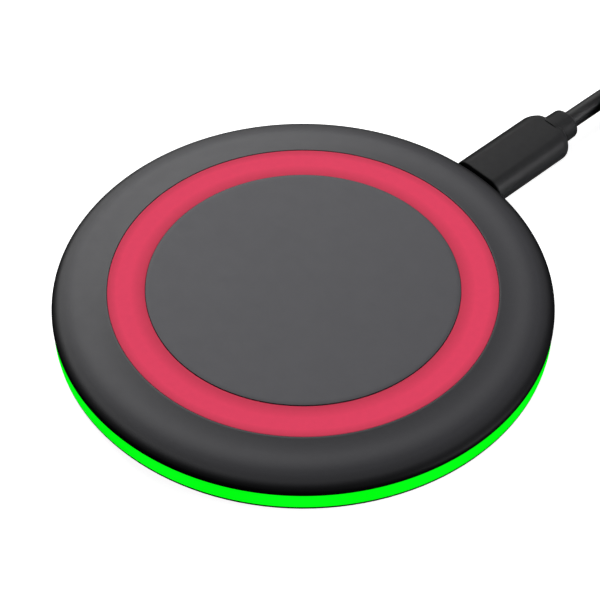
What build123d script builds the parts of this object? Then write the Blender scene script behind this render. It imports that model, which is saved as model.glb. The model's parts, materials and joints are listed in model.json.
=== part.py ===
"""Round wireless charging pad with a coloured accent ring, a glowing light ring and a detachable USB cable.

Millimetres. +Z is up and Z = 0 is the table. The origin is under the middle of the pad.
The USB port faces +Y, and the cable runs away from it along +Y to a tied coil and its second plug.
"""

import os
from math import cos, pi, radians, sin, sqrt, tan

from build123d import *

# ---- Driving dimensions of the pad ----
RIM_RADIUS = 50.0  # widest edge of the top cover
FACE_HEIGHT = 9.0  # flat charging face above the table
RIM_HEIGHT = 5.4  # underside of the rim, where the light ring begins
GLOW_BOTTOM = 1.8  # underside of the light ring
GLOW_RADIUS = 49.87  # the light ring sits just inside the rim
UNDERSIDE = 0.8  # underside of the bottom cover, held off the table by the feet
DISC_RADIUS = 31.25  # flat middle of the charging face, inside the accent ring
GROOVE_OUTER = 38.85  # outer edge of the accent ring's groove
PORT_HEIGHT = 3.57  # axis of the USB port

# ---- Top cover ----
GROOVE_FLOOR = FACE_HEIGHT - 0.8
PLATE_UNDERSIDE = FACE_HEIGHT - 1.4
GROOVE_UNDERSIDE = FACE_HEIGHT - 2.0
SHOULDER_HEIGHT = FACE_HEIGHT - 0.05  # top of the sloping shoulder, beside the groove
RIM_LAND = 0.23  # short upright edge at the rim
RIM_ROUND, RIM_TURN = 1.18, 50.0  # radius of the round above that edge, and the angle it turns through
SHOULDER_SLOPE = -0.22  # slope of the shoulder beside the groove
SKIRT_INNER, SKIRT_OUTER = 45.8, 47.0
SKIRT_BOTTOM = 4.4

# ---- Accent ring ----
RING_TOP = FACE_HEIGHT - 0.15  # the ring lies just below the charging face
RING_EDGE = 0.1

# ---- Bottom cover ----
FLOOR_TOP = 1.9
FLANGE_RADIUS = 49.8  # the bottom cover's flange carries the light ring and shows below it as a thin lip
FLANGE_LIP = 0.45
FLANGE_FOOT_RADIUS = 48.3
UPSTAND_HEIGHT = 3.0
PORT_BLOCK_HALF = 8.0  # half width of the wall round the port, between the light ring's ends
PORT_BLOCK_BACK = 47.6
PORT_NOTCH_HALF = 4.6
PORT_NOTCH_FLOOR = 1.93

# ---- Circuit board ----
BOARD_BOTTOM, BOARD_TOP = 3.07, 4.07
BOARD_RADIUS = 43.6
BOARD_TAB_HALF, BOARD_TAB_END = 7.4, 47.4

# ---- Fasteners and feet, on one circle ----
FIXING_RADIUS = 35.0
FIXING_ANGLES = [45, 135, 225, 315]
SCREW_RADIUS, SCREW_TIP = 0.95, 6.2
HEAD_RADIUS, HEAD_SEAT = 1.9, 2.3
FOOT_RADIUS, FOOT_RECESS = 5.0, 0.5

# ---- Charging coil and its shield ----
COIL_INNER, COIL_OUTER, COIL_TURNS = 10.2, 22.0, 10
COIL_BOTTOM, COIL_TOP = 6.3, 7.5
SHIELD_RADIUS, SHIELD_BOTTOM = 25.0, 5.7
SLOT_ANGLE = 62.0  # direction of the shield's slot for the inner coil lead and the sensor wires
SLOT_HALF_WIDTH, SLOT_START = 1.5, 6.0

# ---- USB-C plug and receptacle ----
SOCKET_WIDTH, SOCKET_HEIGHT, SOCKET_WALL = 8.94, 3.16, 0.3
SOCKET_BACK, SOCKET_MOUTH = 42.15, 49.5
TONGUE_WIDTH, TONGUE_THICK, TONGUE_TIP = 6.69, 0.7, 47.9
SOCKET_BLOCK_FRONT = 43.35
PIN_PITCH, PIN_WIDTH, PIN_THICK, PINS_PER_ROW = 0.5, 0.25, 0.05, 12
PLUG_WIDTH, PLUG_HEIGHT, PLUG_WALL = 8.25, 2.4, 0.25
PLUG_TIP = 43.65
PLUG_SLOT_WIDTH, PLUG_SLOT_HEIGHT, PLUG_SLOT_END = 6.95, 1.0, 48.7
GRIP_WIDTH, GRIP_HEIGHT = 12.9, 6.5  # moulded grip of the plug
GRIP_FRONT, GRIP_END = 50.35, 73.3
GRIP_CORNER, GRIP_EDGE = 3.0, 0.5  # rear corners seen from above, and the round of the rear edge
SHELL_EMBED = 2.0  # how far the metal shells run into their grips
NECK_WIDTH, NECK_HEIGHT, NECK_END = 7.3, 6.2, 78.1  # strain relief behind the grip
NECK_TAPER = 1.2  # degrees by which the strain relief narrows towards the cord

# ---- Cord ----
CORD_DIAMETER = 4.0
TIE_THICK = 0.7
COIL_CENTRE = (28.1, 108.0)  # middle of the wound cord on the table
WIND_INNER, WIND_OUTER = 17.8, 30.2  # three turns side by side
WIND_BOTTOM, WIND_TOP = TIE_THICK, TIE_THICK + 8.2  # two layers
WIND_TURNS = 5.5
TIE_ANGLE, TIE_WIDTH, TIE_GAP = 60.0, 9.0, 0.06
# Route of the cord from the strain relief to the winding, and from the winding to the far plug.
LEAD_ROUTE = [(0, 78.1, 3.57), (0, 86.5, 3.57), (0.05, 96.0, 3.3), (0.3, 104.5, 2.75)]
TAIL_ROUTE = [(56.3, 105, 6.75), (56.9, 98, 6.4), (57.9, 90.5, 4.9), (58.6, 84.2, 4.05), (58.6, 79, 4.05)]

# ---- USB-A plug on the far end, pointing along -Y ----
FAR_X, FAR_Z = 58.6, 4.05
FAR_NECK_END, FAR_NECK_WIDTH, FAR_NECK_HEIGHT = 73.0, 6.8, 5.6
FAR_GRIP_WIDTH, FAR_GRIP_HEIGHT, FAR_GRIP_CORNER = 15.8, 8.0, 2.4
FAR_GRIP_BACK, FAR_GRIP_FRONT, FAR_GRIP_SHOULDER = 74.0, 54.0, 2.2
FAR_SHELL_WIDTH, FAR_SHELL_HEIGHT, FAR_SHELL_WALL, FAR_SHELL_TIP = 12.0, 4.5, 0.3, 42.0
FAR_PIN_OFFSETS = [-3.5, -1.0, 1.0, 3.5]


# ---- Helpers ----
def flat_ring(inner, outer, low, high):
    """Flat ring about the Z axis between two heights, or a disc where inner is 0."""
    section = Circle(outer) - Circle(inner) if inner else Circle(outer)
    return Pos(0, 0, low) * extrude(section, high - low)


def turned(*edges):
    """Solid of revolution from edges that close an outline of (radius, height)."""
    return revolve(make_face(Plane.XZ * Curve(list(edges))), Axis.Z)


def block(x0, x1, y0, y1, z0, z1):
    """Box between two corners."""
    return Pos((x0 + x1) / 2, (y0 + y1) / 2, (z0 + z1) / 2) * Box(x1 - x0, y1 - y0, z1 - z0)


def bar(section, y0, y1, x=0.0, z=PORT_HEIGHT):
    """A section drawn across the cable, carried along Y from y0 to y1."""
    across = Plane(origin=(x, y0, z), x_dir=(1, 0, 0), z_dir=(0, 1, 0))
    return extrude(across * section, y1 - y0)


def polar(radius, angle):
    """Point at a distance and an angle in degrees from the pad's axis."""
    return radius * cos(radians(angle)), radius * sin(radians(angle))


def fixing_pin(radius, low, high):
    """Upright cylinders at the four fixing places."""
    return [Pos(*polar(FIXING_RADIUS, a), low) * extrude(Circle(radius), high - low) for a in FIXING_ANGLES]


def easy_radii(points):
    """Bend radius at each inner point of a route: as large as its two runs allow."""
    radii = []
    for a, b, c in zip(points, points[1:], points[2:]):
        before, after = Vector(*b) - Vector(*a), Vector(*c) - Vector(*b)
        half_turn = radians(before.get_angle(after)) / 2
        radii.append(0.45 * min(before.length, after.length) / tan(half_turn))
    return radii


def tube(points, diameter, name):
    """Round tube along straight runs joined by tangent arcs."""
    radii = easy_radii(points)
    path = FilletPolyline(*points, radius=radii)
    made = sweep(Plane(origin=path @ 0, z_dir=path % 0) * Circle(diameter / 2), path=path)
    share = made.volume / (pi * diameter**2 / 4 * path.length)
    bends = [round(r, 1) for r in radii]
    print(f"{name}: {path.length:.1f} mm long, radii {bends}, volume share {share:.4f}")
    return made


def pin_rows(y0, y1, height, toward):
    """Two rows of contact strips at a height above and below the port's axis.
    toward is +1 where the strips lie outside that height and -1 where they lie inside it."""
    strips = []
    for i in range(PINS_PER_ROW):
        x = (i - (PINS_PER_ROW - 1) / 2) * PIN_PITCH
        for side in (-1, 1):
            near, far = sorted(PORT_HEIGHT + side * h for h in (height, height + toward * PIN_THICK))
            strips.append(block(x - PIN_WIDTH / 2, x + PIN_WIDTH / 2, y0, y1, near, far))
    return strips


# ---- Casing ----
def top_cover():
    """Thin shell with a groove for the grip ring, a soft shoulder that falls to the rim, and a skirt."""
    rim_round = CenterArc((RIM_RADIUS - RIM_ROUND, RIM_HEIGHT + RIM_LAND), RIM_ROUND, 0, RIM_TURN)
    brow = rim_round @ 1
    shoulder = Spline(
        [(GROOVE_OUTER, SHOULDER_HEIGHT), (42.5, 8.30), (46.0, 7.74), (48.0, 7.26), (brow.X, brow.Y)],
        tangents=[(1, SHOULDER_SLOPE), (1, -1 / tan(radians(RIM_TURN)))],
    )
    shell = turned(
        Polyline(
            (0, FACE_HEIGHT),
            (DISC_RADIUS, FACE_HEIGHT),
            (DISC_RADIUS, GROOVE_FLOOR),
            (GROOVE_OUTER, GROOVE_FLOOR),
            (GROOVE_OUTER, SHOULDER_HEIGHT),
        ),
        shoulder,
        rim_round,
        Polyline(
            (RIM_RADIUS, RIM_HEIGHT + RIM_LAND),
            (RIM_RADIUS, RIM_HEIGHT),
            (SKIRT_OUTER, RIM_HEIGHT),
            (SKIRT_OUTER, SKIRT_BOTTOM),
            (SKIRT_INNER, SKIRT_BOTTOM),
            (SKIRT_INNER, 6.2),
            (GROOVE_OUTER + 1.6, GROOVE_UNDERSIDE),
            (DISC_RADIUS - 1.6, GROOVE_UNDERSIDE),
            (DISC_RADIUS - 2.2, PLATE_UNDERSIDE),
            (0, PLATE_UNDERSIDE),
            (0, FACE_HEIGHT),
        ),
    )
    port_gap = block(-PORT_BLOCK_HALF, PORT_BLOCK_HALF, SKIRT_INNER - 2, SKIRT_OUTER + 0.4, 3.0, RIM_HEIGHT)
    shell += fixing_pin(2.8, BOARD_TOP, GROOVE_UNDERSIDE)
    return shell - port_gap - fixing_pin(1.0, BOARD_TOP, 6.5)


def accent_ring():
    """Flat silicone ring in the groove, just below the charging face, with softened upper edges."""
    ring = flat_ring(DISC_RADIUS + 0.05, GROOVE_OUTER - 0.05, GROOVE_FLOOR + 0.1, RING_TOP)
    return fillet(ring.edges().group_by(Axis.Z)[-1], RING_EDGE)


def accent_ring_adhesive():
    return flat_ring(DISC_RADIUS + 0.4, GROOVE_OUTER - 0.4, GROOVE_FLOOR, GROOVE_FLOOR + 0.1)


def light_ring():
    """Translucent ring under the rim, open at the port, with its lower edge broken."""
    low, high, outer, inner, edge = GLOW_BOTTOM, RIM_HEIGHT, GLOW_RADIUS, SKIRT_OUTER + 0.3, 0.15
    outline = [(inner, low), (outer - edge, low), (outer, low + edge), (outer, high), (inner, high), (inner, low)]
    ring = turned(Polyline(*outline))
    gap = PORT_BLOCK_HALF + 0.05
    return ring - block(-gap, gap, 40, RIM_RADIUS + 1, low - 1, high + 1)


def bottom_cover():
    """Tray with a flange under the light ring, screw bosses, board posts and the wall round the port."""
    tray = turned(
        Polyline(
            (0, UNDERSIDE),
            (FLANGE_FOOT_RADIUS - 0.6, UNDERSIDE),
            (FLANGE_FOOT_RADIUS, UNDERSIDE + 0.25),
            (FLANGE_RADIUS, GLOW_BOTTOM - FLANGE_LIP),
            (FLANGE_RADIUS, GLOW_BOTTOM),
            (SKIRT_OUTER + 0.2, GLOW_BOTTOM),
            (SKIRT_OUTER + 0.2, UPSTAND_HEIGHT),
            (SKIRT_INNER, UPSTAND_HEIGHT),
            (SKIRT_INNER, FLOOR_TOP),
            (0, FLOOR_TOP),
            (0, UNDERSIDE),
        )
    )
    half, low = PORT_BLOCK_HALF, FLOOR_TOP - 0.2
    tray -= block(-half, half, SKIRT_INNER - 2, SKIRT_OUTER + 0.4, FLOOR_TOP, UPSTAND_HEIGHT)
    port_wall = flat_ring(SKIRT_INNER, GLOW_RADIUS, low, RIM_HEIGHT)
    port_wall &= block(-half, half, PORT_BLOCK_BACK, RIM_RADIUS, low, RIM_HEIGHT)
    post = extrude(Circle(1.5), BOARD_BOTTOM - FLOOR_TOP)
    posts = [Pos(*polar(18.0, a), FLOOR_TOP) * post for a in (0, 90, 180, 270)]
    tray = tray + port_wall + posts + fixing_pin(3.2, FLOOR_TOP - 0.1, BOARD_BOTTOM)
    half = PORT_NOTCH_HALF
    tray -= block(-half, half, PORT_BLOCK_BACK - 1, RIM_RADIUS + 1, PORT_NOTCH_FLOOR, RIM_HEIGHT + 1)
    tray -= fixing_pin(FOOT_RADIUS + 0.1, UNDERSIDE - 1, UNDERSIDE + FOOT_RECESS)
    tray -= fixing_pin(HEAD_RADIUS + 0.2, UNDERSIDE, HEAD_SEAT)
    return tray - fixing_pin(1.15, HEAD_SEAT, BOARD_BOTTOM + 1)


def foot(angle):
    """Round rubber foot stuck in its recess, over a screw."""
    body = extrude(Circle(FOOT_RADIUS), UNDERSIDE + FOOT_RECESS)
    return Pos(*polar(FIXING_RADIUS, angle), 0) * fillet(body.edges().group_by(Axis.Z)[0], 0.3)


def case_screw(angle):
    """Pan-head screw with a cross recess, driven up through the board into the top cover."""
    head_bottom = UNDERSIDE + FOOT_RECESS + 0.05
    head = Pos(0, 0, head_bottom) * extrude(Circle(HEAD_RADIUS), HEAD_SEAT - head_bottom)
    head = fillet(head.edges().group_by(Axis.Z)[0], 0.25)
    shank = Pos(0, 0, HEAD_SEAT) * extrude(Circle(SCREW_RADIUS), SCREW_TIP - HEAD_SEAT)
    cross = Pos(0, 0, head_bottom) * (Box(2.2, 0.5, 1.0) + Box(0.5, 2.2, 1.0))
    return Pos(*polar(FIXING_RADIUS, angle), 0) * (head + shank - cross)


# ---- Circuit board and what stands on it ----
def main_board():
    """Round board with a tab each side of the USB receptacle."""
    thick = BOARD_TOP - BOARD_BOTTOM
    board = flat_ring(0, BOARD_RADIUS, BOARD_BOTTOM, BOARD_TOP)
    board += block(-BOARD_TAB_HALF, BOARD_TAB_HALF, 38, BOARD_TAB_END, BOARD_BOTTOM, BOARD_TOP)
    half = SOCKET_WIDTH / 2 + 0.1
    board -= block(-half, half, SOCKET_BACK - 0.1, 60, BOARD_BOTTOM - 1, BOARD_TOP + 1)
    return board - fixing_pin(1.3, BOARD_BOTTOM - thick, BOARD_TOP + thick)


def package(length, width, height, x, y, turn=0.0):
    """Box-shaped component standing on the board."""
    return Pos(x, y, BOARD_TOP + height / 2) * Rot(0, 0, turn) * Box(length, width, height)


def side_lamp(angle):
    """Side-firing lamp at the board's edge, with a rounded window that faces outward."""
    body = package(1.0, 3.4, 0.9, 0, 0)
    window = Pos(0.5, 0, BOARD_TOP + 0.45) * Rot(0, 90, 0) * extrude(SlotOverall(2.6, 0.6, rotation=90), 0.1)
    return Pos(*polar(42.4, angle), 0) * Rot(0, 0, angle) * (body + window)


def controller_chip():
    """Square controller with a pin-one dimple."""
    body = package(6, 6, 0.9, -13, 27)
    return body - Pos(-15, 29, BOARD_TOP + 0.9) * Cylinder(0.4, 0.2)


def power_transistors():
    return [package(5, 6, 1.0, 7.5, 30.5), package(5, 6, 1.0, 20, 14, 20)]


def tuning_capacitors():
    """Row of four large ceramic capacitors beside the shield."""
    return [package(3.2, 2.5, 1.6, *polar(30.5, a), a) for a in (196, 204, 212, 220)]


def supply_capacitors():
    return [package(3.2, 1.6, 1.4, x, 37.2) for x in (-12, 12)] + [package(3.2, 1.6, 1.4, 0, 38.0)]


def filter_inductor():
    """Shielded drum inductor with cut corners."""
    body = package(4.4, 4.4, 1.8, -4.8, 33.2)
    return chamfer(body.edges().filter_by(Axis.Z), 0.6)


def chip_resistors():
    """Small two-ended parts in rows round the controller and the transistors."""
    row = [package(0.8, 1.6, 0.45, -21 + 1.8 * i, 21.0) for i in range(4)]
    column = [package(1.6, 0.8, 0.45, -19.5, 25.5 + 1.7 * i) for i in range(3)]
    arc = [package(0.8, 1.6, 0.45, *polar(30.0, a), a) for a in range(300, 350, 7)]
    return row + column + arc


def clock_crystal():
    return package(3.2, 2.5, 0.8, -11.5, 20.8)


# ---- Charging coil, shield and sensor ----
def charging_coil():
    """Flat winding of round wire: one scallop above and below for each turn."""
    pitch, middle = (COIL_OUTER - COIL_INNER) / COIL_TURNS, (COIL_BOTTOM + COIL_TOP) / 2
    crown, valley = (COIL_TOP - COIL_BOTTOM) / 2, 0.28
    arcs = []
    for side in (1, -1):
        for i in range(COIL_TURNS):
            r = COIL_INNER + i * pitch
            ends = [(r, middle + side * valley), (r + pitch, middle + side * valley)]
            arcs.append(ThreePointArc(ends[0], (r + pitch / 2, middle + side * crown), ends[1]))
    walls = [Line((r, middle - valley), (r, middle + valley)) for r in (COIL_INNER, COIL_OUTER)]
    return turned(*arcs, *walls)


def lead_slot():
    """Radial slot in the shield, wide enough for the inner coil lead and the sensor wires."""
    half, low, high = SLOT_HALF_WIDTH, SHIELD_BOTTOM - 1, COIL_BOTTOM + 1
    return Rot(0, 0, SLOT_ANGLE) * block(SLOT_START, SHIELD_RADIUS + 1, -half, half, low, high)


def ferrite_shield():
    return flat_ring(0, SHIELD_RADIUS, SHIELD_BOTTOM, COIL_BOTTOM) - lead_slot()


def coil_adhesive():
    """Double-sided film that holds the coil under the charging face."""
    return flat_ring(4.0, COIL_OUTER + 0.5, COIL_TOP, PLATE_UNDERSIDE)


def along_slot(points, offset):
    """Points given as (distance from the axis, height), carried along the slot at a sideways offset."""
    turn = Rot(0, 0, SLOT_ANGLE)
    return [tuple((turn * Pos(r, offset, z)).position) for r, z in points]


def inner_lead():
    """Coil lead from the inner turn, down through the shield's slot to its pad on the board."""
    route = along_slot([(10.1, 6.95), (8.6, 6.95), (8.6, 5.8), (24.5, 5.8), (28.0, 4.9), (30.5, 4.56)], -0.8)
    return tube(route, 0.9, "inner_lead")


def outer_lead():
    """Coil lead from the outer turn over the shield's edge to its pad on the board."""
    route = along_slot([(22.6, 6.9), (26.0, 6.75), (28.6, 5.2), (31.0, 4.56)], -4.5)
    return tube(route, 0.9, "outer_lead")


def heat_sensor():
    """Bead thermistor in the middle of the coil."""
    return Pos(*along_slot([(0.2, 6.9)], 0.65)[0]) * Sphere(0.6)


def sensor_wires():
    """The bead's two fine wires, side by side through the slot."""
    route = [(0.8, 6.9), (5.6, 6.6), (8.0, 5.98), (24.5, 5.95), (28.4, 4.8), (30.5, 4.3)]
    return [tube(along_slot(route, offset), 0.36, "sensor_wire") for offset in (0.35, 0.95)]


# ---- USB-C receptacle on the board ----
def receptacle_shell():
    """Drawn steel shell with solder tabs on the board each side."""
    outer = bar(SlotOverall(SOCKET_WIDTH, SOCKET_HEIGHT), SOCKET_BACK, SOCKET_MOUTH)
    inner_section = SlotOverall(SOCKET_WIDTH - 2 * SOCKET_WALL, SOCKET_HEIGHT - 2 * SOCKET_WALL)
    shell = outer
    for side in (-1, 1):
        for y in (43.6, 46.0):
            x0, x1 = sorted((side * 3.9, side * 6.2))
            shell += block(x0, x1, y, y + 1.1, BOARD_TOP, BOARD_TOP + 0.3)
    return shell - bar(inner_section, SOCKET_BACK - 1, SOCKET_MOUTH + 1)


def receptacle_tongue():
    """Insulator at the back of the shell, with the thin tongue that carries the contacts."""
    inner_width, inner_height = SOCKET_WIDTH - 2 * SOCKET_WALL, SOCKET_HEIGHT - 2 * SOCKET_WALL
    back = bar(SlotOverall(inner_width - 0.02, inner_height - 0.02), SOCKET_BACK, SOCKET_BLOCK_FRONT)
    return back + bar(Rectangle(TONGUE_WIDTH, TONGUE_THICK), SOCKET_BLOCK_FRONT - 0.5, TONGUE_TIP)


def receptacle_contacts():
    return pin_rows(SOCKET_BLOCK_FRONT + 0.3, TONGUE_TIP - 0.5, TONGUE_THICK / 2, 1)


# ---- USB-C plug ----
def plug_shell():
    """Seamless metal nose of the plug."""
    end = GRIP_FRONT + SHELL_EMBED
    outer = bar(SlotOverall(PLUG_WIDTH, PLUG_HEIGHT), PLUG_TIP, end)
    inner = SlotOverall(PLUG_WIDTH - 2 * PLUG_WALL, PLUG_HEIGHT - 2 * PLUG_WALL)
    return outer - bar(inner, PLUG_TIP - 1, end + 1)


def plug_insert():
    """Insulator inside the nose, with the slot that the receptacle's tongue enters."""
    width, height = PLUG_WIDTH - 2 * PLUG_WALL - 0.02, PLUG_HEIGHT - 2 * PLUG_WALL - 0.02
    body = bar(SlotOverall(width, height), PLUG_TIP + 0.1, GRIP_FRONT + SHELL_EMBED)
    return body - bar(Rectangle(PLUG_SLOT_WIDTH, PLUG_SLOT_HEIGHT), PLUG_TIP - 1, PLUG_SLOT_END)


def plug_contacts():
    return pin_rows(PLUG_TIP + 0.6, PLUG_SLOT_END - 0.2, PLUG_SLOT_HEIGHT / 2, -1)


def plug_grip():
    """Moulded grip: flat top and bottom, round sides, and rear corners rounded as seen from above."""
    plan = Pos(0, (GRIP_FRONT + GRIP_END) / 2) * Rectangle(GRIP_WIDTH, GRIP_END - GRIP_FRONT)
    plan = fillet(plan.vertices().group_by(Axis.Y)[-1], GRIP_CORNER)
    body = bar(SlotOverall(GRIP_WIDTH, GRIP_HEIGHT), GRIP_FRONT, GRIP_END) & extrude(plan, 2 * GRIP_HEIGHT)
    body = fillet(body.edges().filter_by(lambda e: e.center().Y > GRIP_END - GRIP_CORNER), GRIP_EDGE)
    body = fillet(body.edges().group_by(Axis.Y)[0], 0.35)
    return body - bar(SlotOverall(PLUG_WIDTH, PLUG_HEIGHT), GRIP_FRONT - 1, GRIP_FRONT + SHELL_EMBED)


def plug_strain_relief():
    """Short tapered neck behind the grip, rounded off where the cord leaves it."""
    across = Plane(origin=(0, GRIP_END, PORT_HEIGHT), x_dir=(1, 0, 0), z_dir=(0, 1, 0))
    neck = extrude(across * SlotOverall(NECK_WIDTH, NECK_HEIGHT), NECK_END - GRIP_END, taper=NECK_TAPER)
    return fillet(neck.edges().group_by(Axis.Y)[-1], 0.9)


# ---- Cord ----
def cord_lead():
    return tube(LEAD_ROUTE, CORD_DIAMETER, "cord_lead")


def cord_winding():
    """Outer shape of the wound cord, three turns side by side in two layers.
    The stretches that run into it and out of it lie in grooves, face to face with it."""
    wound = pi * WIND_TURNS * (WIND_INNER + WIND_OUTER)
    print(f"cord_winding: {wound:.1f} mm of cord in {WIND_TURNS} turns")
    ring = flat_ring(WIND_INNER, WIND_OUTER, WIND_BOTTOM, WIND_TOP)
    return Pos(*COIL_CENTRE, 0) * fillet(ring.edges(), 1.6) - cord_lead() - cord_tail()


def cord_tail():
    return tube(TAIL_ROUTE, CORD_DIAMETER, "cord_tail")


def cord_tie():
    """Strap wrapped once round the winding."""
    inner, outer = sqrt(WIND_INNER**2 - (TIE_WIDTH / 2) ** 2) - TIE_GAP, WIND_OUTER + TIE_GAP
    low, high = WIND_BOTTOM - TIE_GAP, WIND_TOP + TIE_GAP
    thick = TIE_THICK - 2 * TIE_GAP
    width, height = outer - inner, high - low
    band = RectangleRounded(width + 2 * thick, height + 2 * thick, 1.9)
    band -= RectangleRounded(width, height, 1.3)
    middle = ((inner + outer) / 2, TIE_WIDTH / 2, (low + high) / 2)
    upright = Plane(origin=middle, x_dir=(1, 0, 0), z_dir=(0, -1, 0))
    return Pos(*COIL_CENTRE, 0) * Rot(0, 0, TIE_ANGLE) * extrude(upright * band, TIE_WIDTH)


# ---- USB-A plug on the far end ----
def far_bar(section, y0, y1, z=FAR_Z):
    return bar(section, min(y0, y1), max(y0, y1), FAR_X, z)


def far_grip():
    """Moulded grip of the far plug."""
    section = RectangleRounded(FAR_GRIP_WIDTH, FAR_GRIP_HEIGHT, FAR_GRIP_CORNER)
    body = far_bar(section, FAR_GRIP_FRONT, FAR_GRIP_BACK)
    body = fillet(body.edges().group_by(Axis.Y)[-1], FAR_GRIP_SHOULDER)
    body = fillet(body.edges().group_by(Axis.Y)[0], 0.4)
    pocket = Rectangle(FAR_SHELL_WIDTH, FAR_SHELL_HEIGHT)
    return body - far_bar(pocket, FAR_GRIP_FRONT - 1, FAR_GRIP_FRONT + SHELL_EMBED)


def far_strain_relief():
    section = Ellipse(FAR_NECK_WIDTH / 2, FAR_NECK_HEIGHT / 2)
    neck = far_bar(section, FAR_NECK_END - 3, TAIL_ROUTE[-1][1])
    neck = fillet(neck.edges().group_by(Axis.Y)[-1], 0.75)
    return neck - far_grip()


def far_shell():
    """Folded steel shell with the two latch windows on each broad side."""
    end = FAR_GRIP_FRONT + SHELL_EMBED
    shell = far_bar(Rectangle(FAR_SHELL_WIDTH, FAR_SHELL_HEIGHT), FAR_SHELL_TIP, end)
    hollow = Rectangle(FAR_SHELL_WIDTH - 2 * FAR_SHELL_WALL, FAR_SHELL_HEIGHT - 2 * FAR_SHELL_WALL)
    shell -= far_bar(hollow, FAR_SHELL_TIP - 1, end + 1)
    for side in (-1, 1):
        x = FAR_X + side * 2.9
        shell -= block(x - 1.1, x + 1.1, FAR_SHELL_TIP + 5.0, FAR_SHELL_TIP + 7.3, FAR_Z - 5, FAR_Z + 5)
    return shell


def far_insert():
    """Insulating tongue that fills the lower half of the shell."""
    half = FAR_SHELL_WIDTH / 2 - FAR_SHELL_WALL
    floor = FAR_Z - FAR_SHELL_HEIGHT / 2 + FAR_SHELL_WALL
    left, right, end = FAR_X - half, FAR_X + half, FAR_GRIP_FRONT + SHELL_EMBED
    tongue = block(left, right, FAR_SHELL_TIP + 0.4, end, floor, floor + 1.9)
    back = block(left, right, FAR_GRIP_FRONT - 1.5, end, floor, floor + 3.9)
    return tongue + back


def far_contacts():
    top = FAR_Z - FAR_SHELL_HEIGHT / 2 + FAR_SHELL_WALL + 1.9
    y0, y1 = FAR_SHELL_TIP + 1.2, FAR_SHELL_TIP + 8.6
    return [block(FAR_X + x - 0.5, FAR_X + x + 0.5, y0, y1, top, top + 0.12) for x in FAR_PIN_OFFSETS]


def save(name, shape):
    """Writes one node. A list of separate solids becomes one compound."""
    solids = shape if isinstance(shape, list) else [shape]
    pieces = [s for one in solids for s in one.solids()]
    export_step(Compound(label=name, children=pieces), f"parts/{name}.step")


def main():
    os.makedirs("parts", exist_ok=True)
    nodes = {
        "top_cover": top_cover(),
        "accent_ring": accent_ring(),
        "accent_ring_adhesive": accent_ring_adhesive(),
        "light_ring": light_ring(),
        "bottom_cover": bottom_cover(),
        "case_screws": [case_screw(a) for a in FIXING_ANGLES],
        "main_board": main_board(),
        "side_lamps": [side_lamp(15 + 30 * i) for i in range(12)],
        "controller_chip": controller_chip(),
        "power_transistors": power_transistors(),
        "tuning_capacitors": tuning_capacitors(),
        "supply_capacitors": supply_capacitors(),
        "filter_inductor": filter_inductor(),
        "chip_resistors": chip_resistors(),
        "clock_crystal": clock_crystal(),
        "charging_coil": charging_coil(),
        "inner_lead": inner_lead(),
        "outer_lead": outer_lead(),
        "ferrite_shield": ferrite_shield(),
        "coil_adhesive": coil_adhesive(),
        "heat_sensor": heat_sensor(),
        "sensor_wires": sensor_wires(),
        "receptacle_shell": receptacle_shell(),
        "receptacle_tongue": receptacle_tongue(),
        "receptacle_contacts": receptacle_contacts(),
        "plug_shell": plug_shell(),
        "plug_insert": plug_insert(),
        "plug_contacts": plug_contacts(),
        "plug_grip": plug_grip(),
        "plug_strain_relief": plug_strain_relief(),
        "cord_lead": cord_lead(),
        "cord_winding": cord_winding(),
        "cord_tail": cord_tail(),
        "cord_tie": cord_tie(),
        "far_strain_relief": far_strain_relief(),
        "far_grip": far_grip(),
        "far_shell": far_shell(),
        "far_insert": far_insert(),
        "far_contacts": far_contacts(),
    }
    for i, angle in enumerate(FIXING_ANGLES, 1):
        nodes[f"foot_{i}"] = foot(angle)
    for name, shape in nodes.items():
        save(name, shape)


main()
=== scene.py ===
# %% [markdown]
# # Wireless charging pad
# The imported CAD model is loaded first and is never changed. It fixes every size, so each shape below
# repeats the CAD's dimensions. What shows on the outside is rebuilt as fine surfaces worked out with numpy,
# and every finish is a procedural material. Dimensions are in millimetres, as on a drawing, and become
# metres where a mesh is made.

# %% load the frame
import json
from math import radians

import bmesh
import bpy
import numpy as np
from mathutils import Euler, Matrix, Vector


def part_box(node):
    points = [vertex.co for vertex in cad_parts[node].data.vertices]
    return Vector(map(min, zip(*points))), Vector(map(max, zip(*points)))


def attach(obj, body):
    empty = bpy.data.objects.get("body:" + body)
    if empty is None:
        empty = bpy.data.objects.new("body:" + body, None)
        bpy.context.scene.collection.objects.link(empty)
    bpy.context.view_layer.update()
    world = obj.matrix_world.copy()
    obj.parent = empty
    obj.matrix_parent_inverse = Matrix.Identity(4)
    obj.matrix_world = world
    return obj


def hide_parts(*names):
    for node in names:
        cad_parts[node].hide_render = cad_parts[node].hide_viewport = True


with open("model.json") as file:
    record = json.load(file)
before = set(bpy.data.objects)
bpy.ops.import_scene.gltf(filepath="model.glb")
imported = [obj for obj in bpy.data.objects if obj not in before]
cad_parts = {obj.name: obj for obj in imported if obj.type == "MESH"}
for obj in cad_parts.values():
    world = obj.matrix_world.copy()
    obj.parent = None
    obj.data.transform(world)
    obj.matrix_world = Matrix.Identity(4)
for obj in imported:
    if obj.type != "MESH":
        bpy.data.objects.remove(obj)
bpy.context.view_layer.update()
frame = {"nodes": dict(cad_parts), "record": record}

MM = 0.001
PAD, CABLE = "pad", "cable"
RIM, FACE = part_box("top_cover")[1].x / MM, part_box("top_cover")[1].z / MM
print("rim radius", round(RIM, 2), "mm, charging face", round(FACE, 2), "mm above the table")

# %% [markdown]
# ## Camera
# A long lens, from above and from the right, keeps the circle of the pad close to a true ellipse. The
# camera sits on a sphere about the middle of the charging face. It is then turned down and left by a
# fraction of a degree, which puts the middle of the face a little above and to the right of the frame's.

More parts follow.
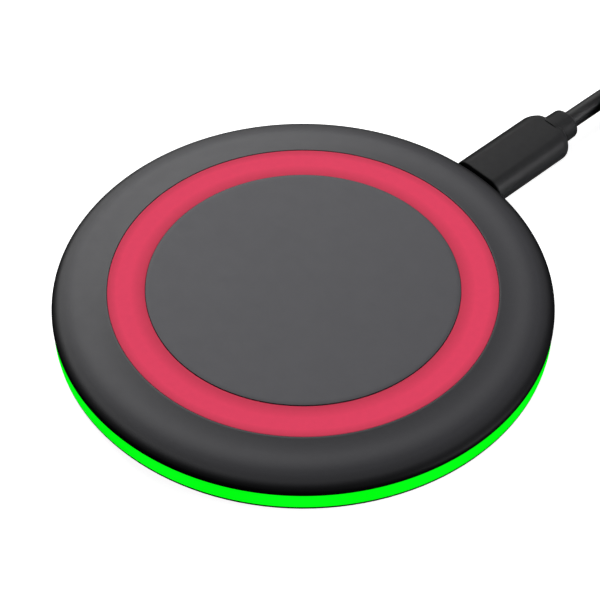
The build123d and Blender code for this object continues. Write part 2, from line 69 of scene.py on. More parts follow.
# %% camera
CAMERA_DISTANCE = 0.430
CAMERA_AZIMUTH, CAMERA_ELEVATION = radians(46.96), radians(46.794)
AIM_DOWN, AIM_LEFT, CAMERA_ROLL = radians(0.4138), radians(0.0818), radians(0.055)
SENSOR, LENS = 36.0, 130.25  # millimetres


def direction(azimuth, elevation):
    """Unit vector from the pad towards an azimuth and elevation. Azimuth 0 is -Y and a quarter turn is
    +X."""
    flat = np.cos(elevation)
    return Vector((np.sin(azimuth) * flat, -np.cos(azimuth) * flat, np.sin(elevation)))


def make_camera():
    data = bpy.data.cameras.new("camera")
    data.sensor_width, data.lens = SENSOR, LENS
    data.clip_start, data.clip_end = 0.01, 20.0
    camera = bpy.data.objects.new("camera", data)
    bpy.context.collection.objects.link(camera)
    back = direction(CAMERA_AZIMUTH, CAMERA_ELEVATION)
    camera.location = Vector((0, 0, FACE * MM)) + back * CAMERA_DISTANCE
    level = (-back).to_track_quat("-Z", "Y")
    aim = Euler((-AIM_DOWN, AIM_LEFT, CAMERA_ROLL), "ZXY").to_quaternion()
    camera.rotation_mode = "QUATERNION"
    camera.rotation_quaternion = level @ aim
    bpy.context.scene.camera = camera


make_camera()
print("camera", [round(v, 3) for v in bpy.context.scene.camera.location])

# %% [markdown]
# ## Materials
# Each finish is a short function. Its patterns read Object coordinates, which stay on a piece when it
# moves, since every piece has its place in its mesh. The helpers here start a material, add a node, make
# noise, and map a value to a range or to colours.

# %% material helpers
def new_material(name, color, roughness, **constants):
    """Principled material and its shader. Constants are set directly on the shader's own sockets."""
    material = bpy.data.materials.new(name)
    material.use_nodes = True
    shader = material.node_tree.nodes["Principled BSDF"]
    shader.inputs["Base Color"].default_value = (*color, 1)
    shader.inputs["Roughness"].default_value = roughness
    for socket, value in constants.items():
        shader.inputs[socket.replace("_", " ")].default_value = value
    return material, shader


def add(material, kind, inputs=(), **settings):
    """New shader node. inputs are (socket, value or output) pairs, and settings are the node's own
    options."""
    made = material.node_tree.nodes.new(kind)
    for key, value in settings.items():
        setattr(made, key, value)
    for socket, value in inputs:
        if isinstance(value, bpy.types.NodeSocket):
            material.node_tree.links.new(value, made.inputs[socket])
        else:
            made.inputs[socket].default_value = value
    return made


def wire(material, value, shader, socket):
    material.node_tree.links.new(value, shader.inputs[socket])


def place(material, stretch=(1, 1, 1)):
    """Object coordinates, times a stretch along each axis."""
    where = add(material, "ShaderNodeTexCoord").outputs["Object"]
    return add(material, "ShaderNodeMapping", [("Vector", where), ("Scale", stretch)]).outputs["Vector"]


def noise(material, scale, detail=2.0, stretch=(1, 1, 1)):
    """Noise from 0 to 1, with scale in waves per metre."""
    inputs = [("Vector", place(material, stretch)), ("Scale", scale), ("Detail", detail)]
    return add(material, "ShaderNodeTexNoise", inputs).outputs["Fac"]


def spread(material, value, low, high, start=0.0, end=1.0):
    """Value mapped from start..end to low..high."""
    limits = [("From Min", start), ("From Max", end), ("To Min", low), ("To Max", high)]
    return add(material, "ShaderNodeMapRange", [("Value", value), *limits]).outputs["Result"]


def bands(material, value, stops):
    """Colour that eases from stop to stop along a length. stops are (place in metres, colour)."""
    low, high = stops[0][0], stops[-1][0]
    ramp = add(material, "ShaderNodeValToRGB", [("Fac", spread(material, value, 0, 1, low, high))])
    elements = ramp.color_ramp.elements
    while len(elements) < len(stops):
        elements.new(0.5)
    for element, (at, color) in zip(elements, stops):
        element.position, element.color = (at - low) / (high - low), (*color, 1)
    return ramp.outputs["Color"]


def shade(material, color, amount, scale, detail=3.0):
    """Colour that noise makes up to an amount darker or lighter, as a share of itself."""
    factor = spread(material, noise(material, scale, detail), 1 - amount, 1 + amount, 0.3, 0.7)
    scaled = add(material, "ShaderNodeVectorMath", [(0, color), (3, factor)], operation="SCALE")
    return scaled.outputs["Vector"]


def grain(material, shader, *layers):
    """Bump from layers of noise, each (waves per metre, strength, height in metres)."""
    normal = []
    for scale, strength, height in layers:
        inputs = [("Height", noise(material, scale)), ("Strength", strength), ("Distance", height), *normal]
        normal = [("Normal", add(material, "ShaderNodeBump", inputs).outputs["Normal"])]
    wire(material, normal[0][1], shader, "Normal")


def from_axis(material):
    """Distance from the pad's axis: the length of (x, y)."""
    flat = add(material, "ShaderNodeVectorMath", [(0, place(material)), (1, (1, 1, 0))], operation="MULTIPLY")
    length = add(material, "ShaderNodeVectorMath", [(0, flat.outputs["Vector"])], operation="LENGTH")
    return length.outputs["Value"]


# %% [markdown]
# ### Moulded plastics and silicone
# The cover is dark grey plastic with a satin texture, which breaks up its gloss so finely that only a soft
# sheen is left. The real one is most likely a single grey. Here painted shade lies in rings about the axis,
# because plain lights alone leave the shoulder too bright and the rim too pale: a band of painted shade runs
# along the groove's outer edge, the shoulder is painted a touch darker than the disc, and the rim is painted
# near black in place of dark surroundings that it would mirror. The ring is red silicone, with painted shade
# deepening it towards its edges. The greys and reds were tuned together with the lights, so they are looks
# rather than measured colours.

# %% cover, base, ring and plug finishes
def cover_plastic():
    """Greys by radius: the disc, and painted shade at the groove's edge, on the shoulder and at the
    near-black rim.
    """
    face, groove_edge = (0.049, 0.0485, 0.0565), (0.042, 0.042, 0.046)
    shoulder, rim = (0.0435, 0.043, 0.048), (0.005, 0.005, 0.006)
    material, shader = new_material("cover_black", face, 0.5, Specular_IOR_Level=0.25)
    # Painted shade: a darker band at the groove's edge, a darker shoulder, and a near-black rim.
    stops = [(0.030, face), (0.0385, groove_edge), (0.0418, shoulder), (0.0468, shoulder), (0.0494, rim),
             (0.051, rim)]
    color = bands(material, from_axis(material), stops)
    wire(material, shade(material, color, 0.02, 900), shader, "Base Color")
    wire(material, spread(material, noise(material, 400), 0.47, 0.53), shader, "Roughness")
    grain(material, shader, (9000, 0.12, 0.00003))
    return material


def ring_silicone():
    """Red by distance from the axis: brightest in the middle, with painted shade towards both edges."""
    middle, inner, outer = (0.93, 0.064, 0.144), (0.68, 0.048, 0.10), (0.70, 0.05, 0.105)
    material, shader = new_material("ring_red", middle, 0.62, Specular_IOR_Level=0.05)
    # Painted shade: the red darkens from the middle of the band towards its inner and outer edges.
    stops = [(0.0313, inner), (0.0342, middle), (0.0370, middle), (0.0388, outer)]
    color = bands(material, from_axis(material), stops)
    wire(material, shade(material, color, 0.015, 700), shader, "Base Color")
    wire(material, spread(material, noise(material, 500), 0.58, 0.66), shader, "Roughness")
    grain(material, shader, (7000, 0.1, 0.00003))
    return material


def soft_plastic(name, color, roughness, level, texture=6000):
    """Moulded plastic or rubber: an even colour that wanders a little, and a fine texture."""
    material, shader = new_material(name, color, roughness, Specular_IOR_Level=level)
    wire(material, shade(material, color, 0.08, 600), shader, "Base Color")
    wander = spread(material, noise(material, 900), roughness - 0.05, roughness + 0.05)
    wire(material, wander, shader, "Roughness")
    grain(material, shader, (texture, 0.1, 0.00003))
    return material


# %% [markdown]
# ### Glow
# The light ring is milky plastic that twelve lamps light from inside. It could be a real glass-like volume
# with lamps behind it, but noise from so many bounces would never settle. The surface gives off the light
# instead, a touch whiter in front of each lamp. The lamps stand 30 degrees apart, so the pattern is a wave
# round the axis.

# %% glow, film and lamp finishes
LAMP_COUNT = 12


def glow_plastic():
    """Emission between two greens by cos(12 a), with a the angle about the axis."""
    material, shader = new_material("glow_green", (0.0, 0.1, 0.0), 0.6, Specular_IOR_Level=0.0)
    split = add(material, "ShaderNodeSeparateXYZ", [(0, place(material))]).outputs
    turn = add(material, "ShaderNodeMath", [(0, split["Y"]), (1, split["X"])], operation="ARCTAN2").outputs[0]
    phase = add(material, "ShaderNodeMath", [(0, turn), (1, LAMP_COUNT)], operation="MULTIPLY").outputs[0]
    wave = add(material, "ShaderNodeMath", [(0, phase)], operation="COSINE").outputs[0]
    between, lamp = (0.0008, 0.975, 0.006), (0.0016, 1.0, 0.009)
    wire(material, bands(material, wave, [(-1.0, lamp), (1.0, between)]), shader, "Emission Color")
    shader.inputs["Emission Strength"].default_value = 1.0
    return material


def clear_film(name):
    """Adhesive film: clear, with faint bubbles in the glue."""
    milky = (0.75, 0.75, 0.72)
    material, shader = new_material(name, milky, 0.25, Alpha=0.6)
    grain(material, shader, (1500, 0.2, 0.00002))
    wire(material, shade(material, milky, 0.05, 800), shader, "Base Color")
    return material


# %% [markdown]
# ### Metals, board and chips
# None of these shows while the case is closed, but the cable's metal nose does when it is pulled out, and
# the rest comes to light in a cutaway. Drawn steel carries faint lines along its length, so its noise is
# stretched.

# %% metals and electronics
def metal(name, color, roughness, stretch=(1, 1, 1), scale=3000):
    """Metal whose roughness varies along drawn lines."""
    material, shader = new_material(name, color, roughness, Metallic=1.0)
    lines = noise(material, scale, 3.0, stretch)
    wire(material, spread(material, lines, roughness - 0.1, roughness + 0.12), shader, "Roughness")
    wire(material, shade(material, color, 0.06, 500), shader, "Base Color")
    return material


def solder_mask():
    """Green lacquer over copper tracks: a fine rectangular pattern shows through as a lighter tone."""
    material, shader = new_material("board_mask", (0.02, 0.12, 0.05), 0.3)
    inputs = [("Vector", place(material)), ("Scale", 260.0), ("Mortar Size", 0.03)]
    tracks = add(material, "ShaderNodeTexBrick", inputs)
    tracks.inputs["Color1"].default_value = (0.018, 0.11, 0.045, 1)
    tracks.inputs["Color2"].default_value = (0.022, 0.13, 0.055, 1)
    tracks.inputs["Mortar"].default_value = (0.04, 0.2, 0.08, 1)
    wire(material, tracks.outputs["Color"], shader, "Base Color")
    grain(material, shader, (2500, 0.1, 0.00002))
    return material


def strap_weave():
    """Hook-and-loop strap: a close weave of two crossing waves, and a little fuzz of sheen."""
    black = (0.03, 0.03, 0.032)
    material, shader = new_material("tie_black", black, 0.9, Sheen_Weight=0.4, Sheen_Roughness=0.5)
    heights = []
    for axis in ("X", "Z"):
        inputs = [("Vector", place(material)), ("Scale", 420.0), ("Distortion", 0.6)]
        heights.append(add(material, "ShaderNodeTexWave", inputs, bands_direction=axis).outputs["Fac"])
    crossed = add(material, "ShaderNodeMath", [(0, heights[0]), (1, heights[1])], operation="ADD").outputs[0]
    bump = add(material, "ShaderNodeBump", [("Height", crossed), ("Strength", 0.6), ("Distance", 0.0002)])
    wire(material, bump.outputs["Normal"], shader, "Normal")
    wire(material, shade(material, black, 0.3, 2500), shader, "Base Color")
    return material


ALONG = (6, 0.3, 6)  # stretch that draws noise out along Y
FINISH = {
    "cover_black": cover_plastic(),
    "ring_red": ring_silicone(),
    "glow_green": glow_plastic(),
    "film_clear": clear_film("film_clear"),
    "base_black": soft_plastic("base_black", (0.02, 0.02, 0.021), 0.6, 0.3),
    "foot_rubber": soft_plastic("foot_rubber", (0.03, 0.03, 0.031), 0.85, 0.2, 4000),
    "plug_black": soft_plastic("plug_black", (0.013, 0.013, 0.0133), 0.46, 0.05),
    "cord_black": soft_plastic("cord_black", (0.014, 0.014, 0.0143), 0.46, 0.12, 5000),
    "tie_black": strap_weave(),
    "socket_black": soft_plastic("socket_black", (0.03, 0.03, 0.03), 0.5, 0.4),
    "chip_black": soft_plastic("chip_black", (0.028, 0.028, 0.03), 0.65, 0.3, 9000),
    "lamp_white": soft_plastic("lamp_white", (0.8, 0.8, 0.74), 0.35, 0.5),
    "wire_red": soft_plastic("wire_red", (0.5, 0.03, 0.03), 0.45, 0.5),
    "chip_ceramic": soft_plastic("chip_ceramic", (0.5, 0.38, 0.25), 0.55, 0.4, 12000),
    "bead_glass": soft_plastic("bead_glass", (0.08, 0.06, 0.05), 0.2, 0.6),
    "ferrite_grey": soft_plastic("ferrite_grey", (0.085, 0.085, 0.092), 0.75, 0.3, 5000),
    "board_mask": solder_mask(),
    "coil_copper": metal("coil_copper", (0.72, 0.33, 0.15), 0.3),
    "contact_gold": metal("contact_gold", (0.9, 0.66, 0.28), 0.25, ALONG),
    "screw_steel": metal("screw_steel", (0.6, 0.6, 0.61), 0.35),
    "shell_steel": metal("shell_steel", (0.66, 0.66, 0.68), 0.28, ALONG),
    "crystal_can": metal("crystal_can", (0.66, 0.64, 0.6), 0.3),
}
SLOTS = {part["node"]: part["material_slot"] for part in frame["record"]["subparts"]}
for name, slot in SLOTS.items():
    frame["nodes"][name].material_slots[0].material = FINISH[slot]
print(len(FINISH), "finishes on", len(SLOTS), "CAD nodes")

# %% [markdown]
# ## Cord
# The cable is about a metre long: a short stretch behind the plug is all that shows, and the rest is wound
# up and tied behind the pad, as for storage. A cord could be a tube of many short runs, but those always
# look like bent wire. One smooth NURBS spline through a few control points, with a round bevel, looks like
# real cord.

# %% cord
ROUTE_OUT = [(0, 78.1, 3.57), (0, 86.5, 3.57), (0.05, 96.0, 3.3), (0.3, 104.5, 2.75)]
ROUTE_BACK = [(56.3, 105, 6.75), (56.9, 98, 6.4), (57.9, 90.5, 4.9), (58.6, 84.2, 4.05),
              (58.6, 79, 4.05)]
COIL_CENTRE, COIL_TURNS = (28.1, 108.0), 5.5
COIL_RADII, COIL_HEIGHTS = (28.1, 24.0, 19.9), (2.7, 6.8)
CORD_DIAMETER, CORD_LENGTH = 4.0, 0.882


def coil_points(per_turn=24):
    """Control points of the wound cord, clockwise from the left: (r cos a, r sin a, z), with a = pi - 2 pi
    t and t counting turns. Each turn keeps one radius and height. The lower layer steps inwards at 0.90 of
    a turn, the climb to the upper layer comes at 0.75 of the third turn, and the upper layer steps outwards
    at 0.60 of a turn, so that no two strands meet."""
    t = np.arange(1, int(COIL_TURNS * per_turn)) / per_turn
    outer, middle, inner = COIL_RADII
    steps, climb = [0.83, 0.97, 1.83, 1.97, 3.53, 3.67, 4.53, 4.67], [2.68, 2.82]
    radius = np.interp(t, steps, [outer, middle, middle, inner, inner, middle, middle, outer])
    height = np.interp(t, climb, COIL_HEIGHTS)
    a = np.pi - 2 * np.pi * t
    x, y = COIL_CENTRE[0] + radius * np.cos(a), COIL_CENTRE[1] + radius * np.sin(a)
    return np.stack([x, y, height], -1)


def make_cord():
    """One open NURBS spline of order 3 from one plug to the other, with a round bevel."""
    points = np.concatenate([ROUTE_OUT, coil_points(), ROUTE_BACK]) * MM
    curve = bpy.data.curves.new("cord", "CURVE")
    curve.dimensions, curve.resolution_u = "3D", 6
    curve.bevel_depth, curve.bevel_resolution = CORD_DIAMETER / 2 * MM, 8
    curve.use_fill_caps = True
    spline = curve.splines.new("NURBS")
    spline.points.add(len(points) - 1)
    spline.points.foreach_set("co", np.c_[points, np.ones(len(points))].ravel())
    spline.order_u = 3
    spline.use_endpoint_u = True
    curve.materials.append(FINISH["cord_black"])
    cord = bpy.data.objects.new("cord", curve)
    bpy.context.collection.objects.link(cord)
    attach(cord, CABLE)
    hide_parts("cord_lead", "cord_winding", "cord_tail")
    print("cord", len(points), "control points")


# %% [markdown]
# ## Surfaces from numpy
# Nearly every outside piece is an outline turned about an axis, or a section carried along a path. Both are
# a grid of points, in which one index runs along the path and the other runs round the outline. One
# function joins such a grid into faces, and another makes a piece of one or more grids.

# %% grids
def grid(points, closed_path=False):
    """Points and faces of a grid of shape (rows, columns, 3). Each face joins (i, j), (i, j+1), (i+1, j+1)
    and (i+1, j). Columns always close into a ring. Rows do too on a closed path, and otherwise each end
    gets a cap."""
    rows, columns = points.shape[:2]
    steps = rows if closed_path else rows - 1
    i, j = np.meshgrid(np.arange(steps), np.arange(columns), indexing="ij")
    down, right = (i + 1) % rows, (j + 1) % columns
    corners = [i * columns + j, i * columns + right, down * columns + right, down * columns + j]
    faces = np.stack(corners, -1).reshape(-1, 4).tolist()
    if not closed_path:
        first = (rows - 1) * columns
        faces += [list(range(columns)), list(range(first, first + columns))]
    return points.reshape(-1, 3) * MM, faces


def make_piece(name, grids, body, slot, replaced, sharp=35):
    """One mesh from several grids. Points that fall together, as on the axis, are merged, faces are turned
    outwards, and edges sharper than an angle in degrees stay crisp. A section that starts and ends on its
    axis leaves one edge there with no faces, which is counted as loose."""
    starts = np.cumsum([0] + [len(points) for points, _ in grids])
    faces = [[start + k for k in face] for start, (_, some) in zip(starts, grids) for face in some]
    mesh = bpy.data.meshes.new(name)
    mesh.from_pydata(np.concatenate([points for points, _ in grids]).tolist(), [], faces)
    work = bmesh.new()
    work.from_mesh(mesh)
    bmesh.ops.remove_doubles(work, verts=work.verts, dist=1e-7)
    bmesh.ops.dissolve_degenerate(work, edges=work.edges, dist=1e-8)
    bmesh.ops.recalc_face_normals(work, faces=work.faces)
    open_edges = sum(edge.is_boundary for edge in work.edges)
    loose_edges = sum(edge.is_wire for edge in work.edges)
    work.to_mesh(mesh)
    work.free()
    mesh.shade_smooth()
    mesh.set_sharp_from_angle(angle=radians(sharp))
    mesh.materials.append(FINISH[slot])
    piece = bpy.data.objects.new(name, mesh)
    bpy.context.collection.objects.link(piece)
    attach(piece, body)
    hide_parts(*replaced)
    print(name, len(mesh.polygons), "faces,", open_edges, "open edges,", loose_edges, "loose edges")
    return piece


# %% [markdown]
# ## Outlines
# A section could be drawn as a curve by hand, but then its sizes are hard to read back. Here it is written
# as a draughtsman would: straight runs between corners, true arcs, and one smooth curve. Turning it about
# the axis gives the whole shell.

# %% outlines
def arc(centre, radius, start, end, count=8):
    """Arc: centre + radius (cos a, sin a), with a in degrees from start to end."""
    a = np.radians(np.linspace(start, end, count))
    return np.stack([centre[0] + radius * np.cos(a), centre[1] + radius * np.sin(a)], -1)


def outline(*stretches):
    """Closed outline from stretches, each a point or a list of points."""
    return np.concatenate([np.asarray(stretch, float).reshape(-1, 2) for stretch in stretches])


def turned(section, count=256, gap=0.0, centre=(0, 0)):
    """Grid of a section of (radius, height) turned about an upright axis: (r cos a, r sin a, z). gap is
    half the angle in degrees that is left open about +Y."""
    a = np.radians(np.linspace(90 + gap, 450 - gap, count, endpoint=gap > 0))[:, None]
    r, z = section[:, 0], section[:, 1]
    x, y = centre[0] + r * np.cos(a), centre[1] + r * np.sin(a)
    return grid(np.stack([x, y, np.broadcast_to(z, x.shape)], -1), closed_path=gap == 0)


def smooth_through(points, start_slope, end_slope, count=48):
    """Smooth curve through a few (x, y) points, the clamped cubic spline. Each span is the cubic that has
    the heights and slopes of its ends. With h a span's length and d its mean slope, the slopes m solve
    m0/h0 + 2 m1 (1/h0 + 1/h1) + m2/h1 = 3 (d0/h0 + d1/h1) at each inner point."""
    x, y = np.asarray(points, float).T
    h = np.diff(x)
    d = np.diff(y) / h
    inner = np.arange(1, len(x) - 1)
    system, right = np.eye(len(x)), np.full(len(x), float(start_slope))
    right[-1] = end_slope
    system[inner, inner - 1], system[inner, inner + 1] = 1 / h[:-1], 1 / h[1:]
    system[inner, inner] = 2 / h[:-1] + 2 / h[1:]
    right[inner] = 3 * (d[:-1] / h[:-1] + d[1:] / h[1:])
    m = np.linalg.solve(system, right)
    at = np.linspace(x[0], x[-1], count)
    k = np.clip(np.searchsorted(x, at, side="right") - 1, 0, len(h) - 1)
    t = (at - x[k]) / h[k]
    height = y[k] * (1 + 2 * t) * (1 - t) ** 2 + y[k + 1] * t**2 * (3 - 2 * t)
    return np.stack([at, height + h[k] * t * (1 - t) * (m[k] * (1 - t) - m[k + 1] * t)], -1)


# %% [markdown]
# ## Cover
# The real cover is one thin moulding: a flat disc, a groove for the red ring, a shoulder and a rounded rim.
# One turned section gives all of it, and the shoulder is a spline, because it has no straight part to
# measure. The skirt below the rim stops short at the cable port, so it is turned through less than a full
# circle. Four hollow posts under the cover take the screws.

# %% cover
DISC, GROOVE_OUTER, GROOVE_FLOOR = 31.25, 38.85, FACE - 0.8
SHOULDER_TOP, SHOULDER_SLOPE = FACE - 0.05, -0.22
SHOULDER_POINTS = [(42.5, 8.32), (46.0, 7.84), (48.0, 7.24)]  # radius, height, within 0.1 mm of the CAD's
RIM_HEIGHT, RIM_LAND, RIM_ROUND, RIM_TURN = 5.4, 0.23, 1.18, 50.0
SKIRT_INNER, SKIRT_OUTER, SKIRT_BOTTOM = 45.8, 47.0, 4.4
PLATE_UNDERSIDE, GROOVE_UNDERSIDE = FACE - 1.4, FACE - 2.0
SKIRT_ROOT = 6.2  # height at which the skirt's inner wall meets the sloping underside
GROOVE_WALL, PLATE_STEP = 1.6, 2.2  # how far the underside keeps clear of the groove and of the disc's edge
EDGE, SEAM_DROP = 0.08, 0.02
POST_OVERLAP = 0.2
FIXING_RADIUS, FIXING_ANGLES = 35.0, (45, 135, 225, 315)
POST_RADIUS, POST_BORE, POST_BOTTOM, BORE_TOP = 2.8, 1.0, 4.07, 6.5
SKIRT_GAP = 10.0  # degrees each side of the port


def cover_section():
    """Half section: disc, groove, shoulder, rounded rim, then the underside back to the axis."""
    rim_round = arc((RIM - RIM_ROUND, RIM_HEIGHT + RIM_LAND), RIM_ROUND, RIM_TURN, 0, 16)
    points = [(GROOVE_OUTER, SHOULDER_TOP), *SHOULDER_POINTS, tuple(rim_round[0])]
    shoulder = smooth_through(points, SHOULDER_SLOPE, -1 / np.tan(radians(RIM_TURN)))
    groove = [(DISC, GROOVE_FLOOR), (GROOVE_OUTER, GROOVE_FLOOR)]
    groove_edge = arc((GROOVE_OUTER + EDGE, SHOULDER_TOP - EDGE - SEAM_DROP), EDGE, 180, 90, 5)
    rim_foot = [(RIM, RIM_HEIGHT), (SKIRT_INNER, RIM_HEIGHT), (SKIRT_INNER, SKIRT_ROOT)]
    underside = [(GROOVE_OUTER + GROOVE_WALL, GROOVE_UNDERSIDE), (DISC - GROOVE_WALL, GROOVE_UNDERSIDE),
                 (DISC - PLATE_STEP, PLATE_UNDERSIDE), (0, PLATE_UNDERSIDE)]
    return outline((0, FACE), (DISC * 0.5, FACE), (DISC - 1, FACE),
                   arc((DISC - EDGE, FACE - EDGE), EDGE, 90, 0, 5), groove, groove_edge, shoulder[2:-1],
                   rim_round, rim_foot, underside)


def screw_post(angle):
    """Post with a blind bore, its section turned about its own upright axis."""
    top = GROOVE_UNDERSIDE + POST_OVERLAP
    section = outline((POST_BORE, POST_BOTTOM), (POST_RADIUS, POST_BOTTOM), (POST_RADIUS, top),
                      (0, top), (0, BORE_TOP), (POST_BORE, BORE_TOP))
    turn = radians(angle)
    return turned(section, 32, centre=(FIXING_RADIUS * np.cos(turn), FIXING_RADIUS * np.sin(turn)))


SKIRT_TOP = RIM_HEIGHT + 0.1
skirt = outline((SKIRT_INNER, SKIRT_BOTTOM), (SKIRT_OUTER, SKIRT_BOTTOM), (SKIRT_OUTER, SKIRT_TOP),
                (SKIRT_INNER, SKIRT_TOP))
posts = [screw_post(angle) for angle in FIXING_ANGLES]
shell = [turned(cover_section(), 384), turned(skirt, 128, SKIRT_GAP), *posts]
make_piece("cover", shell, PAD, "cover_black", ["top_cover"])

# %% [markdown]
# ## Accent ring and light ring
# The red ring is a flat band of silicone laid in the cover's groove, a shade below the charging face, with
# softened upper edges. Its top is given a dip of 0.03 mm between them, so that it is not dead flat. The
# light ring below the rim is open at the port.

# %% rings
RING_INNER, RING_OUTER = DISC + 0.05, GROOVE_OUTER - 0.05
RING_BOTTOM, RING_TOP = FACE - 0.7, FACE - 0.15
RING_EDGE, RING_DIP = 0.1, 0.03
GLOW_INNER, GLOW_OUTER, GLOW_BOTTOM, GLOW_EDGE = 47.3, 49.87, 1.8, 0.15
PORT_WALL = 8.06  # half the width of the port's wall, where the ring ends
GLOW_GAP = float(np.degrees(np.arcsin(PORT_WALL / GLOW_INNER)))


def dished_top(inner, outer, top, dip, count=24):
    """Top of the ring from outside to inside: height = top - dip (1 - s^2), with s from 1 to -1 across
    it."""
    s = np.linspace(1, -1, count)
    return np.stack([(inner + outer) / 2 + s * (outer - inner) / 2, top - dip * (1 - s**2)], -1)


flat = dished_top(RING_INNER + RING_EDGE, RING_OUTER - RING_EDGE, RING_TOP, RING_DIP)
ring = outline((RING_INNER, RING_BOTTOM), (RING_OUTER, RING_BOTTOM),
               arc((RING_OUTER - RING_EDGE, RING_TOP - RING_EDGE), RING_EDGE, 0, 90, 5), flat[1:-1],
               arc((RING_INNER + RING_EDGE, RING_TOP - RING_EDGE), RING_EDGE, 90, 180, 5))
make_piece("accent_band", [turned(ring, 384)], PAD, "ring_red", ["accent_ring"])

lower_edge = arc((GLOW_OUTER - GLOW_EDGE, GLOW_BOTTOM + GLOW_EDGE), GLOW_EDGE, 270, 360, 6)
glow = outline((GLOW_INNER, GLOW_BOTTOM), lower_edge, (GLOW_OUTER, RIM_HEIGHT), (GLOW_INNER, RIM_HEIGHT))
glow_band = make_piece("glow_band", [turned(glow, 384, GLOW_GAP)], PAD, "glow_green", ["light_ring"])
glow_band.visible_diffuse = False  # its light would tint the table, which is only a backdrop

# %% [markdown]
# ## Plugs
# Both plugs are moulded over their metal noses. A grip is a rounded section carried along the cable, and it
# changes on the way: the nose's end has a small round, and the cord's end turns in like a rounded corner.
# Scaling the section from station to station gives both. The strain relief is a short tapered neck that
# flares into the grip.

# %% sections along the cable
def rounded(width, height, corner, per_corner=14):
    """Rounded rectangle: four quarter circles, each about a corner of a smaller rectangle."""
    a = np.linspace(0, np.pi / 2, per_corner) + np.arange(4)[:, None] * np.pi / 2
    signs = np.array([[1, 1], [-1, 1], [-1, -1], [1, -1]])[:, None, :]
    centres = signs * [width / 2 - corner, height / 2 - corner]
    return (np.stack([np.cos(a), np.sin(a)], -1) * corner + centres).reshape(-1, 2)


def carried(section, stations, x=0.0, z=0.0):
    """Grid of a section carried along Y. Each station is (y, inset in x, inset in z), and the section is
    scaled there by 1 - inset / its half size."""
    y, inset_x, inset_z = np.asarray(stations, float).T[:, :, None]
    half_width, half_height = section.max(axis=0)
    across = x + section[:, 0] * (1 - inset_x / half_width)
    up = z + section[:, 1] * (1 - inset_z / half_height)
    return grid(np.stack([across, np.broadcast_to(y, across.shape), up], -1))


def rounding(y_face, y_side, radius_x, radius_z, count=9):
    """Stations of a rounded end, from its face to its side: a quarter ellipse, y = side + (face - side) cos
    t and inset = radius (1 - sin t)."""
    t = np.linspace(0, np.pi / 2, count)
    y = y_side + (y_face - y_side) * np.cos(t)
    return np.stack([y, radius_x * (1 - np.sin(t)), radius_z * (1 - np.sin(t))], -1)


# %% [markdown]
# The grip of the pad's plug has a flat top and bottom and round sides. Seen from above its rear corners are
# rounded by 3 mm, but seen from the side the rear edge is almost square. So its stations near the rear pull
# in a lot in x and only over the last half millimetre in z.

# %% pad plug
PORT_HEIGHT = 3.57
GRIP_WIDTH, GRIP_HEIGHT, GRIP_FRONT, GRIP_END = 12.9, 6.5, 50.35, 73.3
GRIP_CORNER, GRIP_EDGE, GRIP_FRONT_EDGE = 3.0, 0.5, 0.35
CRISP = 60  # moulded parts have only soft edges, so few edges are marked sharp
NECK_WIDTH, NECK_HEIGHT, NECK_END = 7.3, 6.2, 78.1
NECK_EDGE, NECK_TAPER, NECK_FLARE = 0.9, 0.1, 0.35


def grip_stations(front, end, corner, edge, front_edge):
    """Front round, straight sides, then rear corners: with q the way into the corner, from 0 to the
    corner's radius c, the inset in x is c - sqrt(c^2 - q^2), and in z the same with the rear edge's own
    radius."""
    q = corner * np.sin(np.linspace(0, np.pi / 2, 25))
    late = np.clip(q - (corner - edge), 0, edge)
    inset_x, inset_z = corner - np.sqrt(corner**2 - q**2), edge - np.sqrt(edge**2 - late**2)
    rear = np.stack([end - corner + q, inset_x, inset_z], -1)
    side = 1 if end > front else -1
    return np.concatenate([rounding(front, front + side * front_edge, front_edge, front_edge), rear])


def neck_stations(start, end, flare, edge, taper):
    """Flare at the grip, then a slow taper, then the rounded end. Flare and taper are insets, a flare a
    negative one. The flare is a quarter circle that leaves the neck's side and ends square on the grip."""
    side = 1 if end > start else -1
    t = np.linspace(0, np.pi / 2, 7)
    inset = -flare * (1 - np.sin(t))
    root = np.stack([start + side * flare * (1 - np.cos(t)), inset, inset], -1)
    tip = rounding(end, end - side * edge, edge, edge)[::-1] + [0, taper, taper]
    return np.concatenate([[(start - side, -flare, -flare)], root, tip])


stations = grip_stations(GRIP_FRONT, GRIP_END, GRIP_CORNER, GRIP_EDGE, GRIP_FRONT_EDGE)
section = rounded(GRIP_WIDTH, GRIP_HEIGHT, GRIP_HEIGHT / 2)
body_grid = carried(section, stations, z=PORT_HEIGHT)
make_piece("plug_body", [body_grid], CABLE, "plug_black", ["plug_grip"], CRISP)

stations = neck_stations(GRIP_END, NECK_END, NECK_FLARE, NECK_EDGE, NECK_TAPER)
section = rounded(NECK_WIDTH, NECK_HEIGHT, NECK_HEIGHT / 2)
neck_grid = carried(section, stations, z=PORT_HEIGHT)
make_piece("plug_neck", [neck_grid], CABLE, "plug_black", ["plug_strain_relief"], CRISP)

# %% [markdown]
# The far end has a wider plug, a plain block with rounded edges. It is made in the same way, and both its
# ends turn in along a quarter ellipse.

# %% far plug
FAR_X, FAR_Z = 58.6, 4.05
FAR_WIDTH, FAR_HEIGHT, FAR_CORNER = 15.8, 8.0, 2.4
FAR_FRONT, FAR_BACK, FAR_SHOULDER, FAR_FRONT_EDGE = 54.0, 74.0, 2.2, 0.4
FAR_NECK_WIDTH, FAR_NECK_HEIGHT, FAR_NECK_END, FAR_NECK_EDGE = 6.8, 5.6, 79.0, 0.75

front = rounding(FAR_FRONT, FAR_FRONT + FAR_FRONT_EDGE, FAR_FRONT_EDGE, FAR_FRONT_EDGE)
back = rounding(FAR_BACK, FAR_BACK - FAR_SHOULDER, FAR_SHOULDER, FAR_SHOULDER, 17)[::-1]
section = rounded(FAR_WIDTH, FAR_HEIGHT, FAR_CORNER)
body_grid = carried(section, np.concatenate([front, back]), FAR_X, FAR_Z)
make_piece("far_body", [body_grid], CABLE, "plug_black", ["far_grip"], CRISP)

